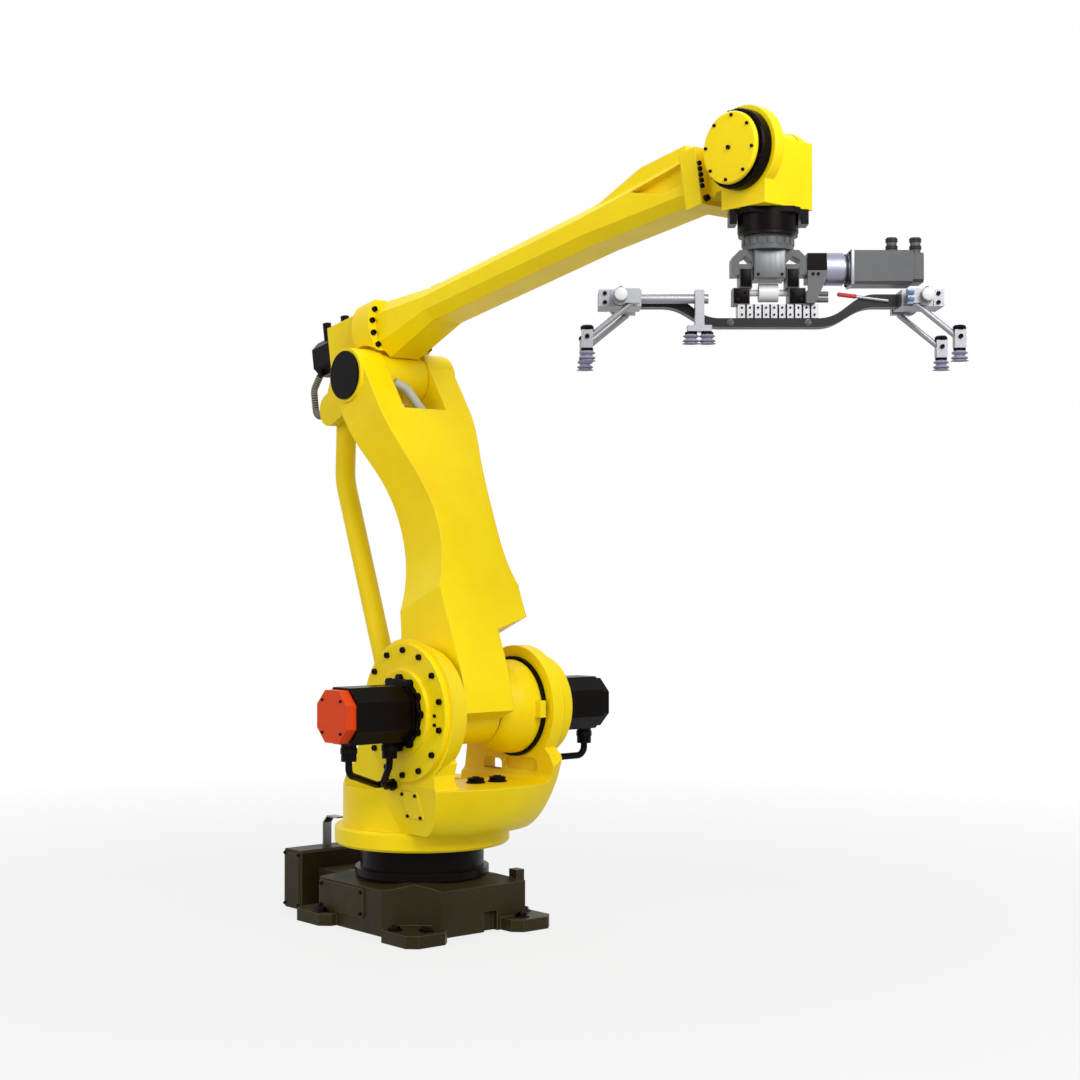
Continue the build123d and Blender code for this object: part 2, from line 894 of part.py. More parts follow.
def wrist_neck():
    neck = block(tube_end, forearm_length - neck_plate_back, -neck_plate_half, neck_plate_half,
                 neck_plate_low, neck_plate_high)
    step, rise = forearm_length - neck_step_back, forearm_length - neck_rise_back
    low, high = forearm_offset - neck_high, forearm_offset + neck_high
    neck += side_slab(polygon([(tube_end, high), (forearm_length, high), (forearm_length, low),
                               (rise, low), (step, forearm_offset - neck_low),
                               (tube_end, forearm_offset - neck_low)]), -neck_half, neck_half)
    neck += drum_y(neck_hub_r, -neck_half, neck_half, forearm_length, forearm_offset)
    neck += drum_y(neck_ear_r, turn_gap - wrist_boss_in, wrist_boss_in - turn_gap,
                   forearm_length, forearm_offset)
    return at_forearm * neck


# Wrist: two round bosses on a floor plate, with a front web
def wrist_housing():
    near = drum_y(wrist_near_r, -wrist_boss_out, -wrist_boss_in)
    near += block(-wrist_rear, wrist_front, -wrist_boss_out, -wrist_boss_in, -wrist_bottom, 0)
    far = drum_y(wrist_far_r, wrist_boss_in, wrist_far_out)
    far += block(-wrist_rear, wrist_front, wrist_boss_in, wrist_far_out, -wrist_bottom, 0)
    floor = block(-wrist_rear, wrist_front, -wrist_boss_out, wrist_far_out,
                  -wrist_bottom, -wrist_floor)
    web = block(wrist_web_in, wrist_front, -wrist_boss_out, wrist_far_out,
                -wrist_bottom, wrist_web_high)
    return at_wrist * (near + far + floor + web)


def wrist_ring():
    return at_wrist * drum_y(wrist_ring_r, -wrist_ring_out, -wrist_boss_out)


def wrist_cover():
    cover = drum_y(wrist_cover_r, -wrist_cover_out, -wrist_ring_out)
    return at_wrist * chamfer(cover.faces().sort_by(Axis.Y)[0].edges(), wrist_cover_edge)


def turning_unit():
    plate = extrude(cut_square(2 * unit_half, unit_corner), -unit_plate)
    unit = plate + drum_z(unit_r, wrist_bottom - unit_low, 0)
    for side in (-1, 1):
        inner = side * (ear_out - ear_width)
        outer = side * ear_out
        ear = block(min(inner, outer), max(inner, outer), -ear_depth / 2, ear_depth / 2,
                    -ear_drop, 0)
        arm = block(min(0, outer), max(0, outer), -ear_depth / 2, ear_depth / 2, -unit_plate, 0)
        unit += ear + arm
    unit -= drum_z(bore_r, wrist_bottom - unit_low, wrist_bottom - unit_low + bore_depth)
    return at_wrist * Pos(0, 0, -wrist_bottom) * Rot(0, 0, tool_turn) * unit


# Tool: flange, changer stack and the centre block
def tool_flange():
    flange = drum_z(face_r, 0, face_plate) - drum_z(pilot_r, 0, face_plate)
    return at_tool * flange


def changer_stack():
    top = drum_z(top_plate_r, -top_plate, 0)
    mid_low = -top_plate - mid_plate
    mid = drum_z(mid_plate_r, mid_low, -top_plate)
    for step in range(rib_count):
        turn = Rot(0, 0, step * 360 / rib_count)
        mid -= turn * block(mid_plate_r - rib_depth, mid_plate_r, -rib_width / 2, rib_width / 2,
                            mid_low, -top_plate)
    low = drum_z(low_plate_r, mid_low - low_plate, mid_low)
    return at_tool * (top + mid + low)


def tool_block():
    body = block(-tool_block_half, tool_block_half, -tool_block_depth, tool_block_depth,
                 -tool_block_low, -tool_block_top)
    for side in (-1, 1):
        body += tool_fork(side)
    return at_tool * body


def tool_fork(side):
    outline = polygon([
        (0, -tool_block_top), (fork_out - fork_corner, -tool_block_top),
        (fork_out, -tool_block_top - fork_corner), (fork_out, -fork_low),
        (fork_out - fork_wall, -fork_low), (fork_out - fork_wall, -leg_top),
        (leg_out, -leg_top), (leg_out, -leg_low), (leg_in, -leg_low), (leg_in, -leg_top),
        (0, -leg_top)])
    fork = side_slab(outline, -fork_half, fork_half)
    window = polygon([
        (tool_block_half, -leg_top + fork_top / 2),
        (fork_out - fork_wall, -leg_top + fork_top / 2),
        (fork_out - fork_wall, -tool_block_top - fork_top - fork_wall / 2),
        (tool_block_half + fork_wall, -tool_block_top - fork_top)])
    fork -= side_slab(window, -fork_half, fork_half)
    fork += block(knuckle_in, knuckle_out, -knuckle_half, knuckle_half,
                  -knuckle_low, -knuckle_top)
    if side < 0:
        return mirror(fork, Plane.YZ)
    return fork


def tool_roller():
    roller = drum_x(roller_r, -roller_half, roller_half, 0, -roller_drop)
    return at_tool * (roller + drum_x(roller_pin_r, -knuckle_in, knuckle_in, 0, -roller_drop))


def segment_bar():
    bar = block(-bar_left, bar_right, -bar_half, bar_half, -bar_low, -bar_top)
    pitch_u = (bar_left + bar_right) / (bar_grooves + 1)
    for step in range(bar_grooves):
        u = (step + 1) * pitch_u - bar_left
        for low, high in ((-bar_half, bar_groove_depth - bar_half),
                          (bar_half - bar_groove_depth, bar_half)):
            bar -= block(u - bar_groove / 2, u + bar_groove / 2, low, high, -bar_low, -bar_top)
    return at_tool * bar


def tool_beam():
    mid_top = beam_thick_mid - beam_low_drop
    end_top = beam_thick_end - beam_end_drop
    level = (1, 0)
    lower = [Line((-beam_end, -beam_end_drop), (-beam_rise, -beam_end_drop)),
             Spline((-beam_rise, -beam_end_drop), (-beam_flat, -beam_low_drop), tangents=(level, level)),
             Line((-beam_flat, -beam_low_drop), (beam_flat, -beam_low_drop)),
             Spline((beam_flat, -beam_low_drop), (beam_rise, -beam_end_drop), tangents=(level, level)),
             Line((beam_rise, -beam_end_drop), (beam_end, -beam_end_drop))]
    upper = [Line((-beam_end, end_top), (-beam_rise, end_top)),
             Spline((-beam_rise, end_top), (-beam_flat, mid_top), tangents=(level, level)),
             Line((-beam_flat, mid_top), (beam_flat, mid_top)),
             Spline((beam_flat, mid_top), (beam_rise, end_top), tangents=(level, level)),
             Line((beam_rise, end_top), (beam_end, end_top))]
    ends = [Line((u, -beam_end_drop), (u, end_top)) for u in (-beam_end, beam_end)]
    return at_tool * side_slab(make_face(lower + upper + ends), -beam_half, beam_half)


def end_clamps():
    clamps = []
    for side in (-1, 1):
        inner = side * beam_end
        outer = side * clamp_out
        body = block(min(inner, outer), max(inner, outer), -clamp_near, clamp_far,
                     -clamp_low, -clamp_top)
        for groove in clamp_grooves:
            u = side * groove
            for low, high in ((-clamp_near, clamp_groove - clamp_near),
                              (clamp_far - clamp_groove, clamp_far)):
                body -= block(u - clamp_groove / 2, u + clamp_groove / 2, low, high,
                              -clamp_low, -clamp_top)
        body -= drum_y(cross_r, -clamp_near, clamp_far, side * cross_u, -cross_drop)
        clamps.append(at_tool * body)
    return Compound(clamps)


def cross_tubes():
    tubes = []
    for side in (-1, 1):
        tube = drum_y(cross_r, -cross_half, cross_half, side * cross_u, -cross_drop)
        tube -= drum_y(cross_bore_r, -cross_half, cross_half, side * cross_u, -cross_drop)
        tubes.append(at_tool * tube)
    return Compound(tubes)


def cup_struts():
    struts = []
    for side in (-1, 1):
        for side_y in (-1, 1):
            y = side_y * strut_y
            run = Line((side * strut_u_in, y, -strut_drop_in), (side * strut_u_out, y, -strut_drop_out))
            body = sweep(Plane(origin=run @ 0, z_dir=run % 0) * Circle(strut_r), run)
            body += drum_y(collar_r, y - collar_half, y + collar_half, side * cross_u, -cross_drop)
            jaw = [side * jaw_in, side * cross_u]
            body += block(min(jaw), max(jaw), y - collar_half, y + collar_half, -jaw_low, -jaw_top)
            body += block(side * strut_u_out - holder_half, side * strut_u_out + holder_half,
                          y - holder_half, y + holder_half, -holder_low, -holder_top)
            body -= drum_y(cross_r, y - collar_half, y + collar_half, side * cross_u, -cross_drop)
            struts.append(at_tool * body)
    return Compound(struts)


def side_tube():
    return at_tool * drum_x(side_tube_r, -beam_end, -side_tube_in, -side_tube_y, -cross_drop)


def drop_bracket():
    body = block(-drop_u - drop_width / 2, drop_width / 2 - drop_u, -drop_near, -drop_far,
                 -drop_low, -drop_top)
    body += block(-drop_foot_left, -drop_foot_right, -drop_near, -drop_far,
                  -drop_low, drop_foot_thick - drop_low)
    body -= drum_x(side_tube_r, -drop_u - drop_width, drop_width - drop_u, -side_tube_y, -cross_drop)
    return at_tool * body


def suction_cup(top, low):
    cup = drum_z(cup_neck_r, low + cup_fold, top)
    cup += drum_z(cup_r, low + 2 * cup_fold, low + 3 * cup_fold)
    return cup + Pos(0, 0, low + cup_fold / 2) * Cone(cup_lip_r, cup_neck_r, cup_fold)


def suction_cups():
    cups = []
    for side in (-1, 1):
        for side_y in (-1, 1):
            cup = suction_cup(-holder_low, -corner_cup_low)
            cups.append(at_tool * Pos(side * strut_u_out, side_y * strut_y, 0) * cup)
    for u in mid_cup_u:
        cup = suction_cup(-drop_low, -mid_cup_low)
        cups.append(at_tool * Pos(-u, -side_tube_y, 0) * cup)
    return Compound(cups)


# Servo, gearbox, bracket and lever beside the centre block
def gear_mount():
    mount = block(mount_in, mount_out, -mount_half, mount_half, -servo_drop - mount_half,
                  mount_half - servo_drop)
    return at_tool * mount


def tool_gearbox():
    gear = drum_x(gear_r, mount_out, gear_mid, 0, -servo_drop)
    gear += drum_x(gear_neck_r, gear_mid, gear_out, 0, -servo_drop)
    return at_tool * gear


def tool_servo():
    body = front_slab(cut_square(2 * servo_half, servo_corner), gear_out, servo_rear)
    body += front_slab(cut_square(2 * servo_end_half, servo_corner), servo_rear, servo_end)
    for u in servo_plugs:
        body += drum_z(servo_plug_r, 0, servo_half + servo_plug_top, u)
    return at_tool * Pos(0, 0, -servo_drop) * body


def gusset():
    outline = polygon([
        (gusset_in, -gusset_top), (gusset_out, -gusset_top),
        (gusset_out, -gusset_top - gusset_step), (gusset_in + gusset_step, -gusset_low),
        (gusset_in, -gusset_low)])
    near = -mount_half - gusset_thick
    body = side_slab(outline, near, -mount_half)
    body += block(knuckle_out, gusset_in + gusset_step, near, knuckle_half, -gusset_low,
                  -peg_drops[0] + peg_r)
    for drop in peg_drops:
        body += drum_x(peg_r, gusset_in, peg_out, -knuckle_half, -drop)
    return at_tool * body


def lever():
    run = Line((lever_start, -lever_near, -lever_drop_start), (lever_end, -lever_near, -lever_drop_end))
    return at_tool * sweep(Plane(origin=run @ 0, z_dir=run % 0) * Circle(lever_r), run)


nodes = {
    "base_casting": base_casting, "connector_box": connector_box, "cable_strip": cable_strip,
    "base_cover": base_cover, "slew_ring": slew_ring,
    "turret_casting": turret_casting, "shoulder_disc": shoulder_disc,
    "shoulder_motor": shoulder_motor, "motor_cap": motor_cap, "link_motor": link_motor,
    "motor_leads": motor_leads,
    "arm_casting": arm_casting, "elbow_covers": elbow_covers, "arm_hose": arm_hose,
    "elbow_pin": elbow_pin, "crank": crank, "crank_seal": crank_seal, "crank_pin": crank_pin,
    "link_rod": link_rod,
    "elbow_housing": elbow_housing, "rear_motor": rear_motor, "elbow_loops": elbow_loops,
    "forearm_tube": forearm_tube, "wrist_neck": wrist_neck,
    "wrist_housing": wrist_housing, "wrist_ring": wrist_ring, "wrist_cover": wrist_cover,
    "turning_unit": turning_unit,
    "tool_flange": tool_flange, "changer_stack": changer_stack, "tool_block": tool_block,
    "tool_roller": tool_roller, "segment_bar": segment_bar, "tool_beam": tool_beam,
    "end_clamps": end_clamps, "cross_tubes": cross_tubes, "cup_struts": cup_struts,
    "side_tube": side_tube, "drop_bracket": drop_bracket, "suction_cups": suction_cups,
    "gear_mount": gear_mount, "tool_gearbox": tool_gearbox, "tool_servo": tool_servo, "gusset": gusset,
    "lever": lever,
}
for node, make in nodes.items():
    save(make(), node)
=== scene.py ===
# %% [markdown]
# # A yellow palletising arm
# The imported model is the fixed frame: every casting already has its true size and place.
# This lesson sets the camera, gives each part its finish, and adds the small parts, such as
# screws, plugs and seals, that are too fine for the solids.

# %% Load the frame
import json
import math
import bpy
import bmesh
from mathutils import Matrix, Vector


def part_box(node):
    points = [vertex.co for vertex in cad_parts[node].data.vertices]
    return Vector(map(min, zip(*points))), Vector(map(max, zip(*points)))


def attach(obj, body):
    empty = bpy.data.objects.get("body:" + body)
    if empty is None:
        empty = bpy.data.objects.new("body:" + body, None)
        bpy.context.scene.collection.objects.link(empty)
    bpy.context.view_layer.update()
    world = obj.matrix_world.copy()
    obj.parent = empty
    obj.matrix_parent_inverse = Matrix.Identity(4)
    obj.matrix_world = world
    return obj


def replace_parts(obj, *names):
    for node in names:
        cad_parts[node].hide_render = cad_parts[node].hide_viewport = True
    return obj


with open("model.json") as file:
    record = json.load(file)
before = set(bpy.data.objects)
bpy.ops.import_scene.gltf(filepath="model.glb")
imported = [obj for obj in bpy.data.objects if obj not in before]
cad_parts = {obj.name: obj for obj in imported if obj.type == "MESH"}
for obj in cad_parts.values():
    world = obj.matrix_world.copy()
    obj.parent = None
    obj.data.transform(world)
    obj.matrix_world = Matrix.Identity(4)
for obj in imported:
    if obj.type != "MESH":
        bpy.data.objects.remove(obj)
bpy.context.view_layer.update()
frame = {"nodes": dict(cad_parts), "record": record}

record = frame["record"]
axis_at = {joint["name"]: Vector(joint["pos_m"]) for joint in record["behaviour"]["joints"]}
shoulder, elbow = axis_at["shoulder"], axis_at["elbow"]
wrist, tool_face = axis_at["wrist_tilt"], axis_at["tool_spin"]

# %% [markdown]
# The photograph was taken with a long lens from about hip height, in front of the arm and to
# its right. The place and the lens were found by matching the arm's pivots to the picture, so
# the camera can be written down directly and needs no aiming.

# %% Camera at the photograph's place
camera_place = (4.977, -3.660, 1.1753)
view_azimuth, view_rise = 140.03, 0.92
lens = bpy.data.cameras.new("photo_camera")
lens.lens, lens.sensor_width = 61.58, 36
lens.clip_end = 200
camera = bpy.data.objects.new("photo_camera", lens)
camera.location = camera_place
camera.rotation_euler = (math.radians(90 + view_rise), 0, math.radians(view_azimuth - 90))
bpy.context.collection.objects.link(camera)
bpy.context.scene.camera = camera
bpy.context.scene.view_settings.view_transform = "Standard"
print("camera at", camera_place)

# %% [markdown]
# Colours are written as the hex values a paint chart would give. Blender works in linear light,
# so one function turns a hex value into linear numbers. A second small function adds any shader
# node with its settings, values and links, which keeps each finish short to read.

# %% Colour and node helpers
def linear(hex_colour):
    parts = [int(hex_colour[i:i + 2], 16) / 255 for i in (1, 3, 5)]
    return [p / 12.92 if p <= 0.04045 else ((p + 0.055) / 1.055) ** 2.4 for p in parts] + [1]


def add(tree, kind, values=None, links=None, **settings):
    made = tree.nodes.new("ShaderNode" + kind)
    for name, value in settings.items():
        setattr(made, name, value)
    for socket, value in (values or {}).items():
        made.inputs[socket].default_value = value
    for socket, source in (links or {}).items():
        tree.links.new(source, made.inputs[socket])
    return made


def new_finish(name):
    finish = bpy.data.materials.new(name)
    finish.use_nodes = True
    finish.node_tree.nodes.clear()
    return finish, finish.node_tree


def show(tree, shader):
    add(tree, "OutputMaterial", links={"Surface": shader})


print("yellow in linear light:", [round(p, 3) for p in linear("#FBDF05")])

# %% [markdown]
# A product picture has a plain pale floor and a white surround. The world could simply be white,
# but then it would light the arm too strongly from all sides. So it is white only where the
# camera or a reflection sees it, and gives the object a softer fill.

# %% White surround
def eye_rays(tree):
    path = add(tree, "LightPath")
    direct = add(tree, "Math", operation="MAXIMUM",
                 links={0: path.outputs["Is Camera Ray"], 1: path.outputs["Is Glossy Ray"]})
    seen = add(tree, "Math", operation="MAXIMUM",
               links={0: direct.outputs[0], 1: path.outputs["Is Transmission Ray"]})
    return seen.outputs[0]


world = bpy.data.worlds.new("studio")
bpy.context.scene.world = world
world.use_nodes = True
tree = world.node_tree
tree.nodes.clear()
fill = add(tree, "Background", {"Color": linear("#F4F6FA"), "Strength": 0.55})
white = add(tree, "Background", {"Color": (1, 1, 1, 1), "Strength": 1.0})
mixed = add(tree, "MixShader", links={0: eye_rays(tree), 1: fill.outputs[0], 2: white.outputs[0]})
add(tree, "OutputWorld", links={"Surface": mixed.outputs[0]})
print("world with", len(tree.nodes), "nodes")

# %% [markdown]
# The floor is one large square. It glows for the same rays, a little less near the arm's foot
# than far away, so that the foot keeps its soft shadow and the distance fades into the white.

# %% Pale floor
floor_half = 60
glow_from, glow_to = 1.6, 4.6
glow_near, glow_far = 0.8, 1.0
floor_mesh = bpy.data.meshes.new("floor")
shape = bmesh.new()
bmesh.ops.create_grid(shape, x_segments=1, y_segments=1, size=floor_half)
shape.to_mesh(floor_mesh)
shape.free()
floor = bpy.data.objects.new("floor", floor_mesh)
bpy.context.collection.objects.link(floor)
# A matt paper sweep: it shows no reflections, only the arm's soft shadow.
pale, tree = new_finish("pale_studio_floor")
spot = add(tree, "TexCoord").outputs["Object"]
away = add(tree, "VectorMath", links={0: spot}, operation="LENGTH")
far = add(tree, "MapRange", {1: glow_from, 2: glow_to, 3: glow_near, 4: glow_far},
          {0: away.outputs["Value"]})
matt = add(tree, "BsdfDiffuse", {"Color": linear("#B6B6B4")})
glow = add(tree, "Emission", {"Color": (1, 1, 1, 1), "Strength": 1.0})
share = add(tree, "Math", links={0: eye_rays(tree), 1: far.outputs[0]}, operation="MULTIPLY")
mixed = add(tree, "MixShader", links={0: share.outputs[0], 1: matt.outputs[0], 2: glow.outputs[0]})
show(tree, mixed.outputs[0])
floor_mesh.materials.append(pale)
print("floor", 2 * floor_half, "m across")

# %% [markdown]
# Three large soft lamps light the arm as in a catalogue. The key stands in front, so the front
# faces are the brightest and the flanks fall to a deeper yellow. A weak fill keeps the flanks
# readable, and one lamp above draws the top edges. Large lamps give soft, long highlights.

# %% Soft lamps
aim = Vector((0.4, 0, 1.2))
for name, place, width, watts in (("key_lamp", (5.6, -1.4, 4.4), 3.0, 255),
                                  ("fill_lamp", (0.4, -5.6, 3.0), 3.0, 80),
                                  ("top_lamp", (-1.2, 0.9, 6.0), 3.2, 90)):
    lamp = bpy.data.lights.new(name, "AREA")
    lamp.size, lamp.energy = width, watts
    holder = bpy.data.objects.new(name, lamp)
    holder.location = place
    holder.rotation_euler = (aim - Vector(place)).to_track_quat("-Z", "Y").to_euler()
    bpy.context.collection.objects.link(holder)
    print(name, watts, "W")

# %% [markdown]
# Machine enamel is sprayed over rough castings, so it has several scales: broad changes of
# thickness, a fine orange peel in the gloss, and a few dull scuffs. It also pulls thin over
# edges and wears there. A Bevel node rounds the edges' shading, and where its normal leaves
# the true one there is an edge, so the same node marks where a paler edge tone goes, in patches:
# a painted highlight on the yellow, worn paint and a painted highlight on the olive foot, and
# worn paint on the other enamels. Away from edges the true normal is kept, so that round tubes
# keep their own smooth shading.
# Object coordinates are in metres, so a pattern of so many millimetres has a scale of 1000 over
# that size.

# %% Sprayed enamel
peel_strength, peel_depth = 0.08, 0.001
edge_starts, edge_full = 0.995, 0.86


def enamel(name, colour, thin, edge_wear_and_highlight, gloss, dull, peel_mm, round_mm, shine,
           blotch_mm=260, scuff_mm=34):
    finish, tree = new_finish(name)
    spot = add(tree, "TexCoord").outputs["Object"]
    blotch = add(tree, "TexNoise", {"Scale": 1000 / blotch_mm, "Detail": 4.0}, {"Vector": spot})
    broad = add(tree, "MapRange", {1: 0.35, 2: 0.75}, {0: blotch.outputs[0]})
    paint = add(tree, "Mix", {6: linear(colour), 7: linear(thin)}, {0: broad.outputs[0]},
                data_type="RGBA")
    scuff = add(tree, "TexNoise", {"Scale": 1000 / scuff_mm, "Detail": 6.0, "Roughness": 0.65},
                {"Vector": spot})
    worn = add(tree, "MapRange", {1: 0.5, 2: 0.8, 3: gloss, 4: dull}, {0: scuff.outputs[0]})
    soft = add(tree, "Bevel", {"Radius": round_mm / 1000}, samples=8)
    true = add(tree, "NewGeometry").outputs["Normal"]
    along = add(tree, "VectorMath", links={0: soft.outputs[0], 1: true}, operation="DOT_PRODUCT")
    edge = add(tree, "MapRange", {1: edge_starts, 2: edge_full}, {0: along.outputs["Value"]})
    # A paler edge tone in patches: a painted highlight on the yellow, worn paint and a painted
    # highlight on the olive foot, worn paint on the other enamels.
    wear_and_highlight_mask = add(tree, "Math", links={0: edge.outputs[0], 1: scuff.outputs[0]},
                 operation="MULTIPLY")
    coat = add(tree, "Mix", {7: linear(edge_wear_and_highlight)}, {0: wear_and_highlight_mask.outputs[0], 6: paint.outputs[2]},
               data_type="RGBA")
    rounded = add(tree, "Mix", links={0: edge.outputs[0], 4: true, 5: soft.outputs[0]},
                  data_type="VECTOR")
    unit = add(tree, "VectorMath", links={0: rounded.outputs[1]}, operation="NORMALIZE")
    peel = add(tree, "TexNoise", {"Scale": 1000 / peel_mm, "Detail": 0.0}, {"Vector": spot})
    bump = add(tree, "Bump", {"Strength": peel_strength, "Distance": peel_depth},
               {"Height": peel.outputs[0], "Normal": unit.outputs["Vector"]})
    skin = add(tree, "BsdfPrincipled", {"IOR": 1.5, "Specular IOR Level": shine},
               {"Base Color": coat.outputs[2], "Roughness": worn.outputs[0],
                "Normal": bump.outputs[0]})
    show(tree, skin.outputs[0])
    print(name, "peel", peel_mm, "mm")
    return finish


# Orange peel is about 1 mm across; it is drawn coarser so that it shows in a whole view.
# The arm's strong yellow: satin, with paler edges that outline each casting: a painted highlight.
yellow_enamel = enamel("yellow_machine_enamel", "#FBDF05", "#F4CF01", "#FFEB4A",
                       0.4, 0.56, 9, 7, 0.18)
# The dark enamels are nearly matt, so they mirror less of the white surround than a gloss does.
# Olive brown on the foot: it looks heavy and a little oily, with greyer edges that are worn paint
# and a painted highlight together.
base_enamel = enamel("olive_brown_enamel", "#37301B", "#2A2414", "#6B6850",
                     0.42, 0.6, 9, 5, 0.1)
# Black on motors, leads, rings and seals: deep and warm, so they stand out against the yellow.
black_enamel = enamel("black_motor_enamel", "#0C0605", "#070403", "#30271F",
                      0.3, 0.46, 8, 3, 0.06)
# Mid grey on the gripper's block and servo: an even satin that lets the bare metal stand out.
tool_enamel = enamel("grey_tool_enamel", "#57585A", "#4B4C4E", "#858689",
                     0.4, 0.55, 6, 2, 0.3)
# Dark grey on the bent beam: a dark line right across the gripper.
beam_enamel = enamel("dark_beam_enamel", "#242627", "#1C1E1F", "#595C5D",
                     0.4, 0.56, 6, 2, 0.16)

# %% [markdown]
# Turned and milled metal keeps fine tool lines. Stretched noise gives the lines, and the same
# noise moves the roughness, so that the highlight breaks up along them.

# %% Machined metal
line_stretch = 60


def machined(name, colour, dark, rough, along, lines_mm=2.0):
    finish, tree = new_finish(name)
    spot = add(tree, "TexCoord").outputs["Object"]
    stretch = [1000 / lines_mm] * 3
    stretch[along] = 1000 / (lines_mm * line_stretch)
    drawn = add(tree, "Mapping", {"Scale": stretch}, {"Vector": spot})
    lines = add(tree, "TexNoise", {"Scale": 1.0, "Detail": 3.0}, {"Vector": drawn.outputs[0]})
    tone = add(tree, "Mix", {6: linear(colour), 7: linear(dark)}, {0: lines.outputs[0]},
               data_type="RGBA")
    sheen = add(tree, "MapRange", {1: 0.3, 2: 0.7, 3: rough * 0.8, 4: rough * 1.25},
                {0: lines.outputs[0]})
    bump = add(tree, "Bump", {"Strength": 0.1, "Distance": 0.0005}, {"Height": lines.outputs[0]})
    skin = add(tree, "BsdfPrincipled", {"Metallic": 1.0},
               {"Base Color": tone.outputs[2], "Roughness": sheen.outputs[0],
                "Normal": bump.outputs[0]})
    show(tree, skin.outputs[0])
    print(name, "lines", lines_mm, "mm")
    return finish


# Tool lines are 0.2 mm apart; they are drawn ten times as wide so that they show.
along_y, along_z = 1, 2
# Pins and the cable strip: plain grey steel with a soft streaked sheen.
bare_steel = machined("turned_steel", "#97989B", "#7C7D81", 0.34, along_y)
# The segmented bar: the brightest metal of the gripper, milled flat.
silver_bar = machined("milled_aluminium", "#A8A8AA", "#8F8F92", 0.42, along_z)
# Tubes, clamps and struts: pale drawn aluminium with a broad, cool highlight.
pale_aluminium = machined("drawn_aluminium", "#9C9DA1", "#84858A", 0.44, along_y)
# Black oxide is a thin dark skin on steel, so screws stay a metal with faint reflections.
black_oxide = machined("black_oxide_steel", "#231D1B", "#171312", 0.42, along_z)
# The gearbox: anodised aluminium, which tints the metal a light lilac.
lilac_gear = machined("lilac_anodised_aluminium", "#A0A1B2", "#88899C", 0.48, along_y)
# The block's face plates: brushed steel that is a shade lighter than the grey enamel round it.
brushed_steel = machined("brushed_grey_steel", "#727375", "#626365", 0.45, along_z)

# %% [markdown]
# Moulded parts, rubber cups and the braided hose are not metal: they scatter light softly. A
# fine grain in the bump stands for the moulded skin.

# %% Moulded plastic and rubber
def moulded(name, colour, shade, rough, grain_mm, shine=0.5):
    finish, tree = new_finish(name)
    spot = add(tree, "TexCoord").outputs["Object"]
    grain = add(tree, "TexNoise", {"Scale": 1000 / grain_mm, "Detail": 3.0}, {"Vector": spot})
    tone = add(tree, "Mix", {6: linear(colour), 7: linear(shade)}, {0: grain.outputs[0]},
               data_type="RGBA")
    uneven = add(tree, "MapRange", {3: rough - 0.08, 4: rough + 0.1}, {0: grain.outputs[0]})
    bump = add(tree, "Bump", {"Strength": 0.15, "Distance": 0.0006}, {"Height": grain.outputs[0]})
    skin = add(tree, "BsdfPrincipled", {"IOR": 1.5, "Specular IOR Level": shine},
               {"Base Color": tone.outputs[2], "Roughness": uneven.outputs[0],
                "Normal": bump.outputs[0]})
    show(tree, skin.outputs[0])
    print(name, "grain", grain_mm, "mm")
    return finish


# Moulded grain is under 1 mm; it is drawn at 3 to 5 mm so that it shows in a whole view.
# The motor's end cap: a strong orange red, the one red spot on the arm itself.
red_cap = moulded("red_moulded_cap", "#E24406", "#CE3A04", 0.45, 4, 0.2)
# The gripper's roller and plugs: smooth off-white acetal.
white_roller = moulded("white_acetal", "#D6D6D5", "#C8C8C7", 0.4, 5)
# Suction cups: bluish grey rubber that goes dull and dark in its folds.
cup_rubber = moulded("grey_cup_rubber", "#8F8FA2", "#7B7B8D", 0.6, 3)
# The hose in the elbow window: a pale braid that shows against the yellow behind it.
pale_hose = moulded("pale_braided_hose", "#C9CBB8", "#A9AB98", 0.6, 4)
# Conduit is a dark flexible tube with paler ribs, partly their own pale plastic and partly a
# painted highlight where they catch the light.
dark_conduit = moulded("dark_conduit_plastic", "#3A3029", "#2E2620", 0.5, 4, 0.3)
conduit_rib = moulded("pale_conduit_rib_highlight", "#A79C8E", "#8F8578", 0.55, 4, 0.3)
# Black strips between the bar's blocks: flat black, painted shade that reads as a row of gaps.
groove_shade_black = moulded("black_painted_groove_shade", "#1A1818", "#121010", 0.7, 3, 0.2)
# Hose clips: small spots of blue nylon.
blue_nylon = moulded("blue_nylon", "#3F6E9E", "#2F5A86", 0.5, 3)
# The lever's grip: a duller red than the motor's cap.
red_grip = moulded("red_grip_plastic", "#B4322C", "#A02A25", 0.5, 3, 0.3)

# %% [markdown]
# Each casting and motor of the frame now gets the finish that its record names. Two nodes differ:
# the loops behind the elbow are dark conduit, and the tool flange is blackened steel.

# %% Put the finishes on the frame
finish_of = {
    "yellow_paint": yellow_enamel, "base_paint": base_enamel, "black_paint": black_enamel,
    "tool_grey": tool_enamel, "dark_beam": beam_enamel, "bare_steel": bare_steel,
    "silver_bar": silver_bar, "pale_aluminium": pale_aluminium, "lilac_gear": lilac_gear,
    "red_cap": red_cap, "white_roller": white_roller, "cup_rubber": cup_rubber,
    "pale_hose": pale_hose}
for row in record["subparts"]:
    node = frame["nodes"][row["node"]]
    node.data.materials.clear()
    node.data.materials.append(finish_of[row["material_slot"]])
frame["nodes"]["elbow_loops"].data.materials[0] = dark_conduit
frame["nodes"]["tool_flange"].data.materials[0] = black_oxide
print("painted", len(record["subparts"]), "nodes")

# %% [markdown]
# Screws, nuts and plugs are small turned parts that repeat many times. Each kind is modelled
# once, as a small mesh standing on the ground, and stamped at its places. A seat is a matrix
# whose Z axis points out of the surface that carries the screw. Turned shapes are spun from
# half a section, which is how a lathe makes them.

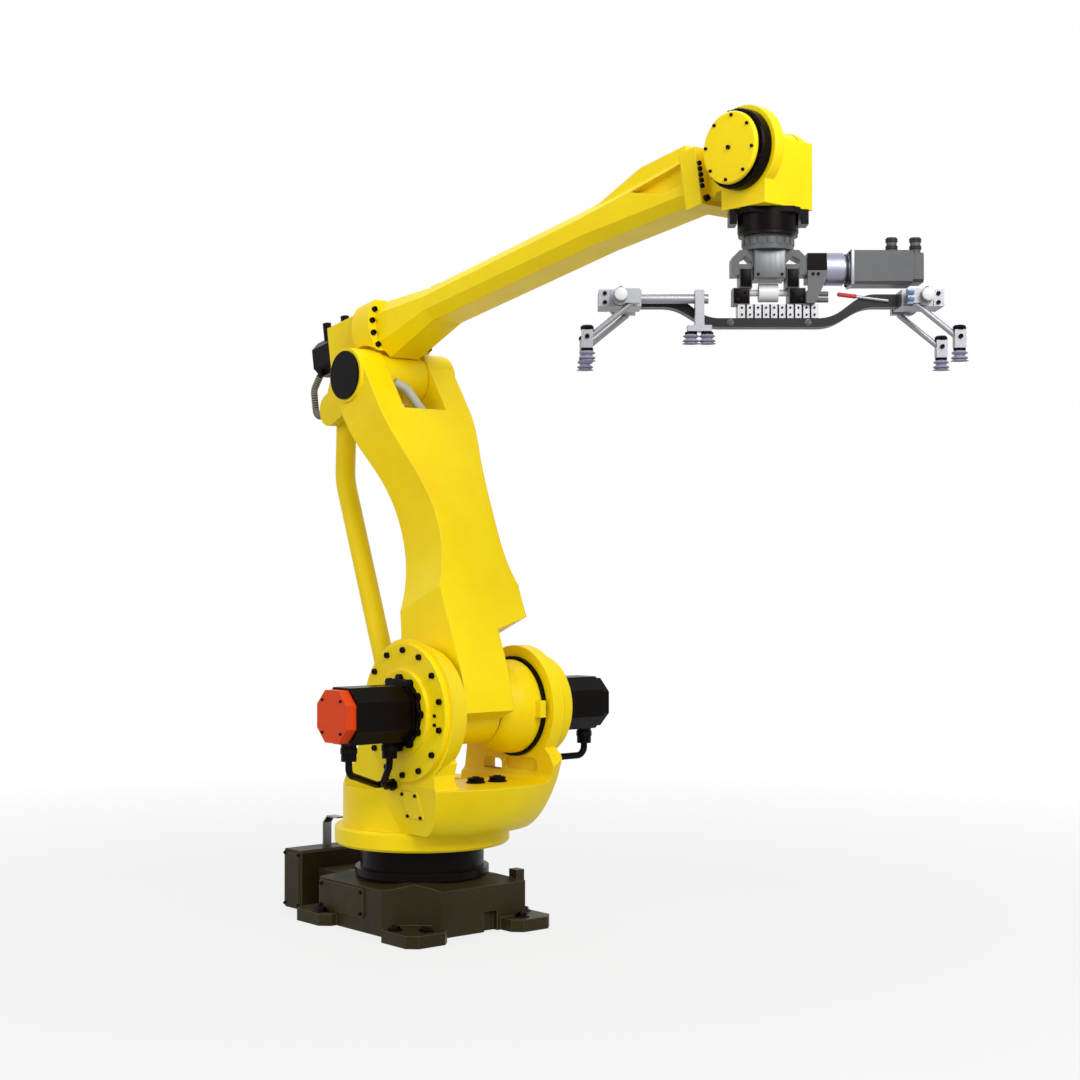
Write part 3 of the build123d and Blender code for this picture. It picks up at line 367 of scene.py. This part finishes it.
# %% Seats, stamps and turned shapes
def seat(place, out, up=(0, 0, 1)):
    z = Vector(out).normalized()
    x = Vector(up).cross(z).normalized()
    return Matrix.Translation(place) @ Matrix((x, z.cross(x), z)).transposed().to_4x4()


def stamp(shape, one, places):
    mesh = bpy.data.meshes.new("stamp")
    one.to_mesh(mesh)
    one.free()
    for place in places:
        start = len(shape.verts)
        shape.from_mesh(mesh)
        bmesh.ops.transform(shape, matrix=place, verts=shape.verts[start:])
    bpy.data.meshes.remove(mesh)


def turned(section, steps=24):
    one = bmesh.new()
    line = [one.verts.new((radius, 0, height)) for radius, height in section]
    for start, end in zip(line, line[1:]):
        one.edges.new((start, end))
    bmesh.ops.spin(one, geom=one.verts[:] + one.edges[:], cent=(0, 0, 0), axis=(0, 0, 1),
                   angle=math.tau, steps=steps, use_merge=True)
    bmesh.ops.remove_doubles(one, verts=one.verts, dist=1e-6)
    bmesh.ops.recalc_face_normals(one, faces=one.faces)
    return one


def piece(name, shape, body, finish):
    mesh = bpy.data.meshes.new(name)
    shape.to_mesh(mesh)
    shape.free()
    mesh.shade_smooth()
    mesh.set_sharp_from_angle(angle=math.radians(35))
    mesh.materials.append(finish)
    made = bpy.data.objects.new(name, mesh)
    bpy.context.collection.objects.link(made)
    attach(made, body)
    print(name, len(mesh.polygons), "faces on", body)
    return made


near, top, along_arm = Vector((0, -1, 0)), Vector((0, 0, 1)), Vector((1, 0, 0))
both_sides = (-1, 1)
print("a seat on the near side looks along", tuple(seat((0, 0, 0), near).col[2][:3]))

# %% [markdown]
# A cap screw is a short drum with a rounded rim and a six-sided socket. A drum is beveled along
# its top rim, its top face is inset, the inset is pulled to a hexagon and pressed down. A bolt
# is a six-sided head on a flat washer. Both are black oxide steel: a dark metal that shows
# only faint reflections.

# %% Cap screws and hexagon bolts
def top_of(one):
    return max(one.faces, key=lambda face: face.calc_center_median().z)


def drum(radius, height, sides, rim):
    one = bmesh.new()
    bmesh.ops.create_cone(one, cap_ends=True, segments=sides, radius1=radius, radius2=radius,
                          depth=height, matrix=Matrix.Translation((0, 0, height / 2)))
    bmesh.ops.bevel(one, geom=top_of(one).edges[:], offset=rim, segments=2, profile=0.5,
                    affect="EDGES", material=-1)
    return one


def cap_screw(radius):
    height = radius * 1.1
    one = drum(radius, height, 18, radius * 0.14)
    socket = top_of(one)
    bmesh.ops.inset_individual(one, faces=[socket], thickness=radius * 0.3)
    for vert in socket.verts:
        turn = math.atan2(vert.co.y, vert.co.x) % (math.pi / 3) - math.pi / 6
        vert.co.xy = vert.co.xy * math.cos(math.pi / 6) / math.cos(turn)
    bmesh.ops.inset_individual(one, faces=[socket], thickness=radius * 0.02, depth=-height * 0.55)
    return one


def hex_bolt(radius, washer):
    thick = washer * 0.16
    one = turned([(0, 0), (washer, 0), (washer, washer * 0.14), (washer * 0.96, thick), (0, thick)])
    head = drum(radius, radius * 0.8, 6, radius * 0.08)
    stamp(one, head, [Matrix.Translation((0, 0, thick))])
    return one


sample = cap_screw(0.005)
print("a cap screw has", len(sample.faces), "faces")
sample.free()

# %% [markdown]
# Fourteen screws hold the shoulder's drive disc to the turret, on a ring a little inside its
# edge. Two small plugs close its grease holes.

# %% Shoulder disc screws
disc_face, disc_ring, disc_count = -0.273, 0.195, 14
plug_across, plug_rises = 0.165, (-0.001, -0.029)
turns = [math.tau * step / disc_count for step in range(disc_count)]
screws = bmesh.new()
stamp(screws, cap_screw(0.0095), [
    seat((shoulder.x + disc_ring * math.sin(turn), disc_face,
          shoulder.z + disc_ring * math.cos(turn)), near) for turn in turns])
stamp(screws, cap_screw(0.0055), [
    seat((shoulder.x + plug_across, disc_face, shoulder.z + rise), near) for rise in plug_rises])
piece("shoulder_disc_screws", screws, "turret", black_oxide)

# %% [markdown]
# The motor's end cap is held by four screws in its slanted corners. Their places come from the
# cap's own box, so they stay right if the motor changes.

# %% Motor cap screws
low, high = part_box("motor_cap")
cap_mid, cap_half = (Vector(low) + Vector(high)) / 2, (high[0] - low[0]) / 2
corner = cap_half * 0.62
screws = bmesh.new()
stamp(screws, cap_screw(0.0045), [
    seat((cap_mid.x + side * corner, low[1], cap_mid.z + rise * corner), near)
    for side in both_sides for rise in both_sides])
piece("motor_cap_screws", screws, "turret", black_oxide)

# %% [markdown]
# Each motor lead ends in a round plug with a ribbed coupling ring that is turned by hand, and
# goes into the turret through a six-sided gland nut. The rings are closed loops spun about the
# plug's axis.

# %% Lead couplings and gland nuts
coupling = [(0.0225, 0), (0.0265, 0.002), (0.0265, 0.006), (0.025, 0.007), (0.0265, 0.008),
            (0.0265, 0.012), (0.025, 0.013), (0.0265, 0.014), (0.0265, 0.018), (0.0225, 0.02),
            (0.0225, 0)]
plug_foot = 0.612
gland_r, gland_high, gland_rim = 0.019, 0.014, 0.002
near_entries = ((0.164, -0.2545, 0.496), (0.196, -0.2545, 0.496))
far_entry = (shoulder.x, 0.2215, 0.549)
fittings = bmesh.new()
stamp(fittings, turned(coupling, 28), [seat((shoulder.x, y, plug_foot), top, along_arm)
                                       for y in (-0.478, -0.326, 0.478)])
stamp(fittings, drum(gland_r, gland_high, 6, gland_rim), [seat(at, near) for at in near_entries])
stamp(fittings, drum(gland_r, gland_high, 6, gland_rim), [seat(far_entry, -near)])
piece("lead_couplings", fittings, "turret", black_enamel)

# %% [markdown]
# A small service hatch lies on the turret's leaning flank. Its screws sit on a seat that leans
# with it, and are placed across and along that seat. Two round caps stand on the ledge below the
# arm's foot; they are turned parts, so they are spun.

# %% Hatch screws and ledge caps
slant = math.radians(17)
hatch_out = Vector((0, -math.cos(slant), -math.sin(slant)))
hatch_up = (0, -math.sin(slant), math.cos(slant))
hatch_mid, hatch_thick = Vector((0.272, -0.236, 0.437)), 0.006
hatch = seat(hatch_mid + hatch_out * hatch_thick, hatch_out, hatch_up)
screws = bmesh.new()
stamp(screws, cap_screw(0.0055), [hatch @ Matrix.Translation((across, along, 0))
                                  for across in (-0.034, 0.034) for along in (-0.037, 0.037)])
piece("hatch_screws", screws, "turret", black_oxide)
knob = [(0, 0), (0.031, 0), (0.031, 0.004), (0.027, 0.006), (0.027, 0.014), (0.024, 0.017),
        (0.012, 0.018), (0.011, 0.021), (0, 0.021)]
ledge = 0.493
caps = bmesh.new()
stamp(caps, turned(knob, 32), [seat((x, y, ledge), top, along_arm)
                               for x, y in ((0.305, -0.012), (0.318, 0.066))])
piece("ledge_caps", caps, "turret", black_enamel)

# %% [markdown]
# The arm is held down by two bolts in each foot, with broad washers that spread the load. The
# covers on the base and on the connector box have small screws near their corners.

# %% Base bolts and cover screws
foot_top = 0.04
foot_holes = ((0.288, 0.195), (0.212, 0.262))
bolts = bmesh.new()
stamp(bolts, hex_bolt(0.0173, 0.024), [seat((side * x, wide * y, foot_top), top, along_arm)
                                       for side in both_sides for wide in both_sides
                                       for x, y in foot_holes])
piece("foot_bolts", bolts, "base", black_oxide)


def corner_seats(node, inset_x, inset_z):
    low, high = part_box(node)
    return [seat((x, low[1], z), near) for x in (low[0] + inset_x, high[0] - inset_x)
            for z in (low[2] + inset_z, high[2] - inset_z)]


screws = bmesh.new()
stamp(screws, cap_screw(0.006), corner_seats("base_cover", 0.014, 0.013))
stamp(screws, cap_screw(0.0055), corner_seats("connector_box", 0.014, 0.014))
piece("base_cover_screws", screws, "base", black_oxide)

# %% [markdown]
# The forearm tube is bolted to the elbow housing through a round flange. The bolts stand on the
# flange's front face, so they are placed in the forearm's own leaning frame: X runs along the
# forearm from the elbow.

# %% Elbow flange bolts
forearm_lean = 10
forearm = Matrix.Translation(elbow) @ Matrix.Rotation(math.radians(-forearm_lean), 4, "Y")
flange_face, flange_mid, flange_ring = 0.075, 0.154, 0.122
turns = [math.radians(60 + 20 * step) for step in range(4)]
bolts = bmesh.new()
stamp(bolts, cap_screw(0.0095), [
    forearm @ seat((flange_face, side * flange_ring * math.sin(turn),
                    flange_mid + flange_ring * math.cos(turn)), along_arm)
    for side in both_sides for turn in turns])
piece("elbow_flange_bolts", bolts, "forearm", black_oxide)

# %% [markdown]
# The leads behind the elbow run in ribbed conduit: a plastic tube moulded with a ring every few
# millimetres, so that it bends without kinking. The frame has the smooth tubes, fixed at both
# ends. The rings have to sit on those solids, so a small closed ring is spun and stamped along
# the same line, which turns two round bends.

# %% Conduit rings
def with_bends(points, bend, steps=8):
    line = [points[0]]
    for before, corner, after in zip(points, points[1:], points[2:]):
        a, b = (before - corner).normalized(), (after - corner).normalized()
        half = a.angle(b) / 2
        centre = corner + (a + b).normalized() * bend / math.sin(half)
        start = corner + a * bend / math.tan(half) - centre
        end = corner + b * bend / math.tan(half) - centre
        line += [centre + start.lerp(end, step / steps).normalized() * bend
                 for step in range(steps + 1)]
    return line + [points[-1]]


def spaced(line, pitch):
    seats, left = [], pitch
    for start, end in zip(line, line[1:]):
        length = (end - start).length
        while left < length:
            seats.append((start.lerp(end, left / length), end - start))
            left += pitch
        left -= length
    return seats


# The real ribs are about 4 mm apart; they are made 9 mm apart so that they show in a whole view.
rib_pitch, loop_bend, loop_across = 0.009, 0.03, 0.05
loop_line = [Vector(point) for point in ((-0.362, 0, 0.104), (-0.412, 0, 0.0623),
                                         (-0.412, 0, -0.0397), (-0.3503, 0, -0.0397))]
rib = [(0.0104, -0.0022), (0.0122, -0.0018), (0.0127, 0), (0.0122, 0.0018), (0.0104, 0.0022),
       (0.0104, -0.0022)]
rib_seats = spaced(with_bends(loop_line, loop_bend), rib_pitch)
rings = bmesh.new()
for side in both_sides:
    beside = Vector((0, side * loop_across, 0))
    stamp(rings, turned(rib, 18), [forearm @ seat(place + beside, out, (0, 1, 0))
                                   for place, out in rib_seats])
piece("conduit_rings", rings, "forearm", conduit_rib)

# %% [markdown]
# Behind the wrist's cover a broad black seal shows as a dark crescent. It is a closed ring, spun
# about the wrist's axis, with small screws on its rim. The round cover itself has eight screws
# and one in the middle.

# %% Wrist seal and cover screws
def round_wrist(radius, face, turns):
    return [seat((wrist.x + radius * math.cos(turn), face, wrist.z + radius * math.sin(turn)), near)
            for turn in turns]


boss_face, seal_screw_out = -0.098, 0.0318
seal_section = [(0.09, 0), (0.106, 0), (0.107, 0.003), (0.107, 0.028), (0.104, 0.032),
                (0.0965, 0.033), (0.09, 0.033), (0.09, 0)]
seal = bmesh.new()
stamp(seal, turned(seal_section, 72), [seat((wrist.x, boss_face, wrist.z), near)])
stamp(seal, cap_screw(0.0038), round_wrist(0.102, boss_face - seal_screw_out,
                                           [math.tau * step / 18 for step in range(18)]))
piece("wrist_seal", seal, "wrist", black_enamel)
cover_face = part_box("wrist_cover")[0][1]
screws = bmesh.new()
stamp(screws, cap_screw(0.0045), round_wrist(0.085, cover_face,
                                             [math.radians(38 + 45 * step) for step in range(8)]))
stamp(screws, cap_screw(0.006), [seat((wrist.x, cover_face, wrist.z), near)])
piece("wrist_cover_screws", screws, "wrist", black_oxide)

# %% [markdown]
# On each side five screws stand in a row on the plate that joins the forearm to the wrist, and a
# larger one below them.

# %% Neck plate screws
plate_face, row_foot, row_pitch = 1.617, 0.119, 0.0163
screws = bmesh.new()
stamp(screws, cap_screw(0.0065), [
    forearm @ seat((plate_face, side * 0.088, row_foot + row_pitch * step), along_arm)
    for side in both_sides for step in range(5)])
stamp(screws, cap_screw(0.0095), [forearm @ seat((plate_face, side * 0.078, 0.085), along_arm)
                                  for side in both_sides])
piece("neck_plate_screws", screws, "forearm", black_oxide)

# %% [markdown]
# The gripper hangs from the tool face and is turned with it, so its small parts are placed in
# the tool's own frame: U runs along the beam, and heights count down from the tool face. Flat
# plates start as a cube that is scaled in its mesh and beveled all round, as milled plates are.

# %% Tool frame and plates
tool_turn = 50
tool = Matrix.Translation(tool_face) @ Matrix.Rotation(math.radians(tool_turn), 4, "Z")


def plate(low, high, edge):
    one = bmesh.new()
    low, high = Vector(low), Vector(high)
    bmesh.ops.create_cube(one, size=1)
    bmesh.ops.scale(one, vec=high - low, verts=one.verts)
    bmesh.ops.translate(one, vec=(low + high) / 2, verts=one.verts)
    bmesh.ops.bevel(one, geom=one.edges[:], offset=edge, segments=2, profile=0.5,
                    affect="EDGES", material=-1)
    return one


print("tool frame turned", tool_turn, "degrees at", tuple(tool_face))

# %% [markdown]
# The middle block has a lighter front plate with two screws. The legs and knuckles beside it
# carry thin black plates on both faces: painted shade that gives the block its deep shadows.

# %% Centre block plates
skin_half, skin_edge = 0.0015, 0.001


def thin_plate(across, y, drops):
    return plate((min(across), y - skin_half, drops[0]), (max(across), y + skin_half, drops[1]),
                 skin_edge)


faces = bmesh.new()
for side in both_sides:
    stamp(faces, thin_plate((-0.04, 0.04), side * 0.047, (-0.1155, -0.041)), [tool])
piece("block_face_plates", faces, "tool", brushed_steel)
# Thin black plates on the legs and knuckles: painted shade.
leg_shade_plate = ((0.048, 0.078), 0.0345, (-0.138, -0.09))
knuckle_shade_plate = ((0.054, 0.095), 0.0305, (-0.182, -0.142))
shade_plates = bmesh.new()
for side in both_sides:
    for wide in both_sides:
        for across, y, drops in (leg_shade_plate, knuckle_shade_plate):
            stamp(shade_plates, thin_plate([side * u for u in across], wide * y, drops), [tool])
piece("knuckle_shade_plates", shade_plates, "tool", black_enamel)

# %% [markdown]
# Small screws hold the front plate, the gear mount beside it and the knuckles.

# %% Centre block screws
front_face, mount_face, knuckle_face = -0.0485, -0.0465, -0.032
knuckle_holes = ((0.064, -0.152), (0.085, -0.172))
screws = bmesh.new()
stamp(screws, cap_screw(0.004), [tool @ seat((u, front_face, -0.107), near)
                                 for u in (-0.032, 0.032)])
stamp(screws, cap_screw(0.004), [tool @ seat((u, mount_face, -0.105), near)
                                 for u in (0.115, 0.129)])
stamp(screws, cap_screw(0.0045), [tool @ seat((side * u, knuckle_face, drop), near)
                                  for side in both_sides for u, drop in knuckle_holes])
piece("block_screws", screws, "tool", black_oxide)

# %% [markdown]
# The segmented bar is a row of pale blocks with grooves between them. Flat black strips fill
# the grooves as painted shade, and each block has two small screws on its face.

# %% Segment gaps
segments, pitch_u, first_u, gap_half = 10, 0.0216, -0.084, 0.0026
strip_in, strip_out, bar_face = 0.0235, 0.0278, 0.028
strip_low, strip_high, strip_edge = -0.2208, -0.1842, 0.0004
# Black strips in the grooves between the blocks: painted shade.
strips, screws = bmesh.new(), bmesh.new()
for side in both_sides:
    front, back = sorted((side * strip_in, side * strip_out))
    for step in range(1, segments):
        u = first_u + step * pitch_u
        stamp(strips, plate((u - gap_half, front, strip_low), (u + gap_half, back, strip_high),
                            strip_edge), [tool])
    stamp(screws, cap_screw(0.003), [
        tool @ seat((first_u + (step + 0.5) * pitch_u, side * bar_face, drop), near * -side)
        for step in range(segments) for drop in (-0.193, -0.212)])
piece("segment_groove_shade", strips, "tool", groove_shade_black)
piece("segment_screws", screws, "tool", black_oxide)

# %% [markdown]
# The servo has a pale square flange where it meets the gearbox, with a screw in each corner, and
# ribbed rings on its two round plugs. A shaft coupling shows as a dark band behind the gearbox.

# %% Servo flange and plug rings
servo_front, servo_drop, screw_out = 0.2165, -0.086, 0.038
flange_back, flange_half, flange_edge = 0.2255, 0.0475, 0.002
flange = bmesh.new()
stamp(flange, plate((servo_front, -flange_half, servo_drop - flange_half),
                    (flange_back, flange_half, servo_drop + flange_half), flange_edge), [tool])
piece("servo_flange", flange, "tool", pale_aluminium)
screws = bmesh.new()
stamp(screws, cap_screw(0.0045), [
    tool @ seat((servo_front, wide * screw_out, servo_drop + rise * screw_out), -along_arm)
    for wide in both_sides for rise in both_sides])
piece("servo_flange_screws", screws, "tool", black_oxide)
ring_section = [(0.0135, 0), (0.0165, 0.001), (0.0165, 0.004), (0.0155, 0.005), (0.0165, 0.006),
                (0.0165, 0.01), (0.0135, 0.011), (0.0135, 0)]
rings = bmesh.new()
stamp(rings, turned(ring_section, 28), [tool @ seat((u, 0, rise), top, along_arm)
                                        for u in (0.333, 0.397) for rise in (-0.034, -0.014)])
piece("servo_plug_rings", rings, "tool", beam_enamel)
gear_ring = [(0.035, 0), (0.041, 0), (0.041, 0.006), (0.035, 0.006), (0.035, 0)]
band = bmesh.new()
stamp(band, turned(gear_ring, 40), [tool @ seat((0.206, 0, servo_drop), along_arm)])
piece("gear_band", band, "tool", beam_enamel)

# %% [markdown]
# The end clamps pinch the cross tubes and the beam's ends. Their screws, the nuts on the beam
# and the white plugs in the tube ends are what the eye uses to read their size. One strut block
# carries two small blue hose clips.

# %% Clamp screws, beam nuts and tube plugs
tube_u, tube_end, tube_drop = 0.402, 0.136, -0.174
clamp_u, clamp_face, block_face, block_drop = 0.442, -0.078, 0.126, -0.156
beam_half, beam_drop = 0.026, -0.233
screws = bmesh.new()
stamp(screws, cap_screw(0.0055), [tool @ seat((side * clamp_u, clamp_face, drop), near)
                                  for side in both_sides for drop in (-0.162, -0.186)])
stamp(screws, cap_screw(0.005), [
    tool @ seat((side * tube_u, wide * block_face, block_drop), near * -wide)
    for side in both_sides for wide in both_sides])
piece("clamp_screws", screws, "tool", black_oxide)
nuts = bmesh.new()
stamp(nuts, hex_bolt(0.007, 0.0095), [tool @ seat((u, wide * beam_half, beam_drop), near * -wide)
                                      for u in (-0.104, 0.104) for wide in both_sides])
piece("beam_nuts", nuts, "tool", tool_enamel)
plug = [(0, 0), (0.0118, 0), (0.0118, 0.014), (0.0165, 0.0145), (0.0165, 0.0165), (0.015, 0.0175),
        (0, 0.0175)]
plugs = bmesh.new()
stamp(plugs, turned(plug, 32), [
    tool @ seat((side * tube_u, wide * tube_end, tube_drop), near * -wide)
    for side in both_sides for wide in both_sides])
piece("tube_plugs", plugs, "tool", white_roller)
clip_u, clip_y, clip_half, clip_edge = (0.352, 0.368), (-0.1325, -0.1255), 0.005, 0.0015
clips = bmesh.new()
for drop in (-0.167, -0.185):
    stamp(clips, plate((clip_u[0], clip_y[0], drop - clip_half),
                       (clip_u[1], clip_y[1], drop + clip_half), clip_edge), [tool])
piece("hose_clip", clips, "tool", blue_nylon)

# %% [markdown]
# The lever's free end has a red plastic grip, spun about the lever's own line.

# %% Lever grip
lever_foot, lever_tip = Vector((0.318, -0.03, -0.175)), Vector((0.183, -0.03, -0.158))
lever_line, grip_cover = lever_tip - lever_foot, 0.05
grip_start = lever_tip - lever_line.normalized() * grip_cover
grip = [(0, 0), (0.0048, 0), (0.0058, 0.003), (0.0058, 0.047), (0.0048, 0.051), (0, 0.052)]
shape = bmesh.new()
stamp(shape, turned(grip, 20), [tool @ seat(grip_start, lever_line, (0, 1, 0))])
piece("lever_grip", shape, "tool", red_grip)

# %% [markdown]
# A suction cup is a rubber bellows: the folds let it settle on an uneven surface. Each is spun
# from half a section, from its neck through two folds to the thin lip, and hollow below. They
# stand for the plain solid cups.

# %% Bellows cups
folds = [(0, 0), (0.011, 0), (0.0115, 0.16), (0.0195, 0.3), (0.0215, 0.36), (0.0205, 0.42),
         (0.0135, 0.54), (0.0135, 0.58), (0.021, 0.7), (0.0225, 0.76), (0.0215, 0.81),
         (0.016, 0.88), (0.0165, 0.9), (0.024, 1.0), (0.0228, 1.0), (0.014, 0.92), (0, 0.9)]


def bellows(length):
    return turned([(radius, -length * share) for radius, share in folds], 36)


corners = [(side * 0.49, wide * 0.112) for side in both_sides for wide in both_sides]
bracket_cups = [(u, -0.056) for u in (-0.212, -0.169)]
corner_top, bracket_top = -0.312, -0.262
cups = bmesh.new()
stamp(cups, bellows(0.034), [tool @ Matrix.Translation((u, y, corner_top)) for u, y in corners])
stamp(cups, bellows(0.032), [tool @ Matrix.Translation((u, y, bracket_top))
                             for u, y in bracket_cups])
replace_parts(piece("bellows_cups", cups, "tool", cup_rubber), "suction_cups")

# %% [markdown]
# Black swivel caps, screws and nuts join the corner cups to their struts. The two cups under the
# bracket have nuts alone.

# %% Swivel caps and nuts
cap = [(0, 0), (0.0165, 0), (0.0175, 0.002), (0.0175, 0.009), (0.013, 0.013), (0, 0.014)]
nut = [(0.009, 0), (0.0165, 0), (0.0165, 0.005), (0.009, 0.006), (0.009, 0)]
holder_half, holder_drop, cap_drop = 0.015, -0.282, -0.2645
nut_drop, bracket_nut_drop = -0.318, -0.268
swivels = bmesh.new()
for u, y in corners:
    at = tool @ Matrix.Translation((u, y, 0))
    stamp(swivels, turned(cap), [at @ Matrix.Translation((0, 0, cap_drop))])
    stamp(swivels, turned(nut), [at @ Matrix.Translation((0, 0, nut_drop))])
    stamp(swivels, cap_screw(0.006), [at @ seat((0, -holder_half, holder_drop), near),
                                      at @ seat((0, holder_half, holder_drop), -near)])
stamp(swivels, turned(nut), [tool @ Matrix.Translation((u, y, bracket_nut_drop))
                             for u, y in bracket_cups])
piece("cup_swivels", swivels, "tool", black_enamel)
